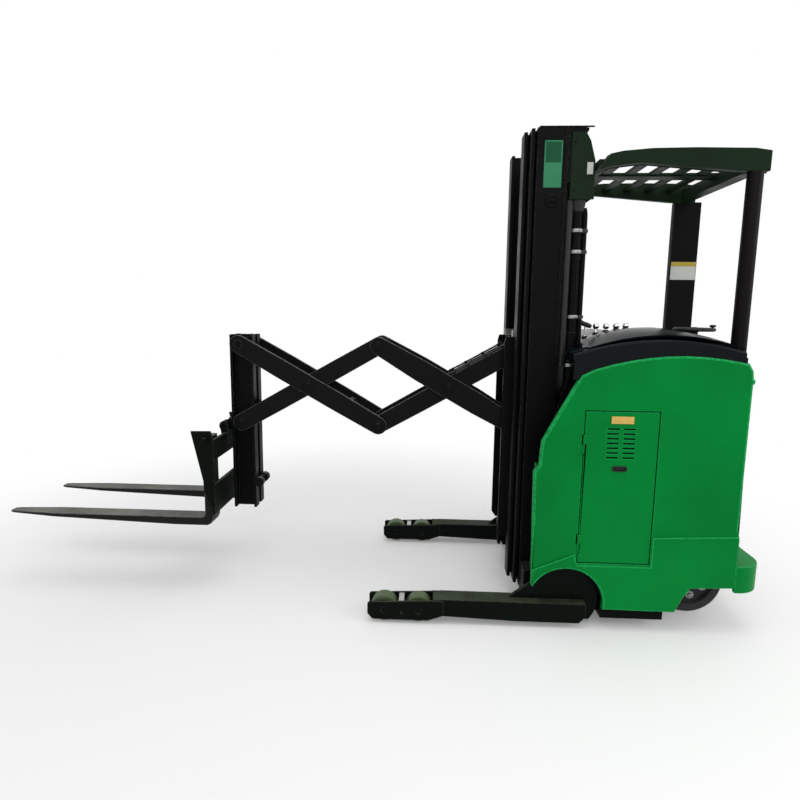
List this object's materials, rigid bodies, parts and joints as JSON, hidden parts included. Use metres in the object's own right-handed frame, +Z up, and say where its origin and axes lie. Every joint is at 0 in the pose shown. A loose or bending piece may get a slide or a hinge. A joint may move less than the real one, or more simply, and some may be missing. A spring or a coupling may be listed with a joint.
{
  "type": "reach truck",
  "caption": "Stand-up double-deep reach truck with straddle legs, a telescopic mast, a scissor reach carrying forks, an overhead guard and a green body.",
  "frame": {"origin": "middle of the overall length and width, on the floor", "axes": "+X towards the fork tips, +Y to the truck's left, +Z up"},
  "size_m": [3.79, 1.116, 2.303],
  "materials": {
    "green_paint": "smooth semi-gloss enamel",
    "black_paint": "satin black enamel",
    "olive_paint": "satin dark olive enamel with scuffs",
    "arm_paint": "satin black enamel, green-black",
    "fork_steel": "worn forged steel",
    "bright_steel": "machined steel",
    "rod_chrome": "hard chrome",
    "console_plastic": "gloss black moulding",
    "grip_plastic": "matt black moulding",
    "wheel_tread": "pale cast polyurethane",
    "drive_tread": "dark cast tyre",
    "battery_steel": "matt grey coat",
    "chain_steel": "oiled chain steel"
  },
  "bodies": {
    "truck": {"chassis_frame": "black_paint", "leg_left": "olive_paint", "leg_right": "olive_paint", "rockers": "bright_steel", "side_panel_left": "green_paint", "side_panel_right": "green_paint", "front_bulkhead": "black_paint", "mast_gussets": "black_paint", "rear_step": "green_paint", "operator_walls": "black_paint", "battery": "battery_steel", "console": "console_plastic", "control_levers": "rod_chrome", "guard_roof": "black_paint", "guard_pillar_left": "black_paint", "guard_pillar_right": "black_paint", "mast_outer": "black_paint", "mast_outer_ties": "black_paint", "lift_barrels": "black_paint", "mast_covers": "black_paint", "drive_motor": "battery_steel"},
    "left_door": {"service_door_left": "green_paint"},
    "right_door": {"service_door_right": "green_paint"},
    "mast_middle_stage": {"mast_middle": "black_paint", "mast_middle_ties": "black_paint", "lift_rods": "rod_chrome"},
    "mast_inner_stage": {"mast_inner": "black_paint", "mast_inner_ties": "black_paint", "lift_chains": "chain_steel"},
    "reach_carriage": {"mast_carriage": "black_paint", "carriage_rollers": "bright_steel"},
    "rear_inner_link": {"rear_inner_arms": "arm_paint"},
    "rear_outer_link": {"rear_outer_arms": "arm_paint"},
    "front_inner_link": {"front_inner_arms": "arm_paint"},
    "front_outer_link": {"front_outer_arms": "arm_paint"},
    "fork_upright": {"fork_frame": "black_paint"},
    "fork_head": {"fork_carriage": "black_paint", "fork_left": "fork_steel", "fork_right": "fork_steel"},
    "wheel_left_front": {"load_wheel_lf": "wheel_tread"},
    "wheel_left_rear": {"load_wheel_lr": "wheel_tread"},
    "wheel_right_front": {"load_wheel_rf": "wheel_tread"},
    "wheel_right_rear": {"load_wheel_rr": "wheel_tread"},
    "drive_unit": {"drive_yoke": "bright_steel"},
    "drive_roller": {"drive_wheel": "drive_tread"},
    "caster_fork": {"caster_yoke": "bright_steel"},
    "caster_roller": {"caster_wheels": "drive_tread"},
    "steering": {"steering_wheel": "grip_plastic"}
  },
  "joints": [
    {"name": "mast_lift", "type": "slide", "parent": "truck", "child": "mast_middle_stage", "axis": [0, 0, 1], "range_m": [0, 1.6]},
    {"name": "inner_stage_lift", "type": "slide", "parent": "mast_middle_stage", "child": "mast_inner_stage", "axis": [0, 0, 1], "range_m": [0, 1.6]},
    {"name": "carriage_lift", "type": "slide", "parent": "mast_inner_stage", "child": "reach_carriage", "axis": [0, 0, 1], "range_m": [-0.25, 0.75]},
    {"name": "reach", "type": "hinge", "parent": "reach_carriage", "child": "rear_inner_link", "pos_m": [-0.812, 0, 1.294], "axis": [0, 1, 0], "range_deg": [0, 42.3]},
    {"name": "rear_cross", "type": "hinge", "parent": "rear_inner_link", "child": "rear_outer_link", "pos_m": [-0.442, 0, 1.083], "axis": [0, -1, 0], "range_deg": [0, 84.61]},
    {"name": "lower_knuckle", "type": "hinge", "parent": "rear_inner_link", "child": "front_outer_link", "pos_m": [-0.072, 0, 0.872], "axis": [0, -1, 0], "range_deg": [0, 84.61]},
    {"name": "front_cross", "type": "hinge", "parent": "front_outer_link", "child": "front_inner_link", "pos_m": [0.298, 0, 1.083], "axis": [0, 1, 0], "range_deg": [0, 84.61]},
    {"name": "fork_frame_pivot", "type": "hinge", "parent": "front_outer_link", "child": "fork_upright", "pos_m": [0.668, 0, 1.294], "axis": [0, 1, 0], "range_deg": [0, 42.3]},
    {"name": "fork_tilt", "type": "hinge", "parent": "fork_upright", "child": "fork_head", "pos_m": [0.768, 0, 0.85], "axis": [0, -1, 0], "range_deg": [-2.5, 4]},
    {"name": "left_front_wheel_spin", "type": "hinge", "parent": "truck", "child": "wheel_left_front", "pos_m": [-0.142, 0.5, 0.0635], "axis": [0, 1, 0], "continuous": true},
    {"name": "left_rear_wheel_spin", "type": "hinge", "parent": "truck", "child": "wheel_left_rear", "pos_m": [-0.308, 0.5, 0.0635], "axis": [0, 1, 0], "continuous": true},
    {"name": "right_front_wheel_spin", "type": "hinge", "parent": "truck", "child": "wheel_right_front", "pos_m": [-0.142, -0.5, 0.0635], "axis": [0, 1, 0], "continuous": true},
    {"name": "right_rear_wheel_spin", "type": "hinge", "parent": "truck", "child": "wheel_right_rear", "pos_m": [-0.308, -0.5, 0.0635], "axis": [0, 1, 0], "continuous": true},
    {"name": "drive_steer", "type": "hinge", "parent": "truck", "child": "drive_unit", "pos_m": [-1.645, 0.285, 0.4], "axis": [0, 0, 1], "range_deg": [-90, 90]},
    {"name": "drive_spin", "type": "hinge", "parent": "drive_unit", "child": "drive_roller", "pos_m": [-1.645, 0.285, 0.165], "axis": [0, 1, 0], "continuous": true},
    {"name": "caster_swivel", "type": "hinge", "parent": "truck", "child": "caster_fork", "pos_m": [-1.627, -0.33, 0.17], "axis": [0, 0, 1], "continuous": true},
    {"name": "caster_spin", "type": "hinge", "parent": "caster_fork", "child": "caster_roller", "pos_m": [-1.661, -0.33, 0.075], "axis": [0, 1, 0], "continuous": true},
    {"name": "left_door_hinge", "type": "hinge", "parent": "truck", "child": "left_door", "pos_m": [-1.0385, 0.544, 0.7], "axis": [0, 0, -1], "range_deg": [0, 110]},
    {"name": "right_door_hinge", "type": "hinge", "parent": "truck", "child": "right_door", "pos_m": [-1.0385, -0.544, 0.7], "axis": [0, 0, 1], "range_deg": [0, 110]},
    {"name": "steering_turn", "type": "hinge", "parent": "truck", "child": "steering", "pos_m": [-1.593, 0.285, 1.37], "axis": [0, 0, 1], "continuous": true}
  ],
  "couplings": [
    {"joint": "inner_stage_lift", "follows": "mast_lift", "ratio": 1},
    {"joint": "rear_cross", "follows": "reach", "ratio": 2},
    {"joint": "lower_knuckle", "follows": "reach", "ratio": 2},
    {"joint": "front_cross", "follows": "reach", "ratio": 2},
    {"joint": "fork_frame_pivot", "follows": "reach", "ratio": 1}
  ]
}
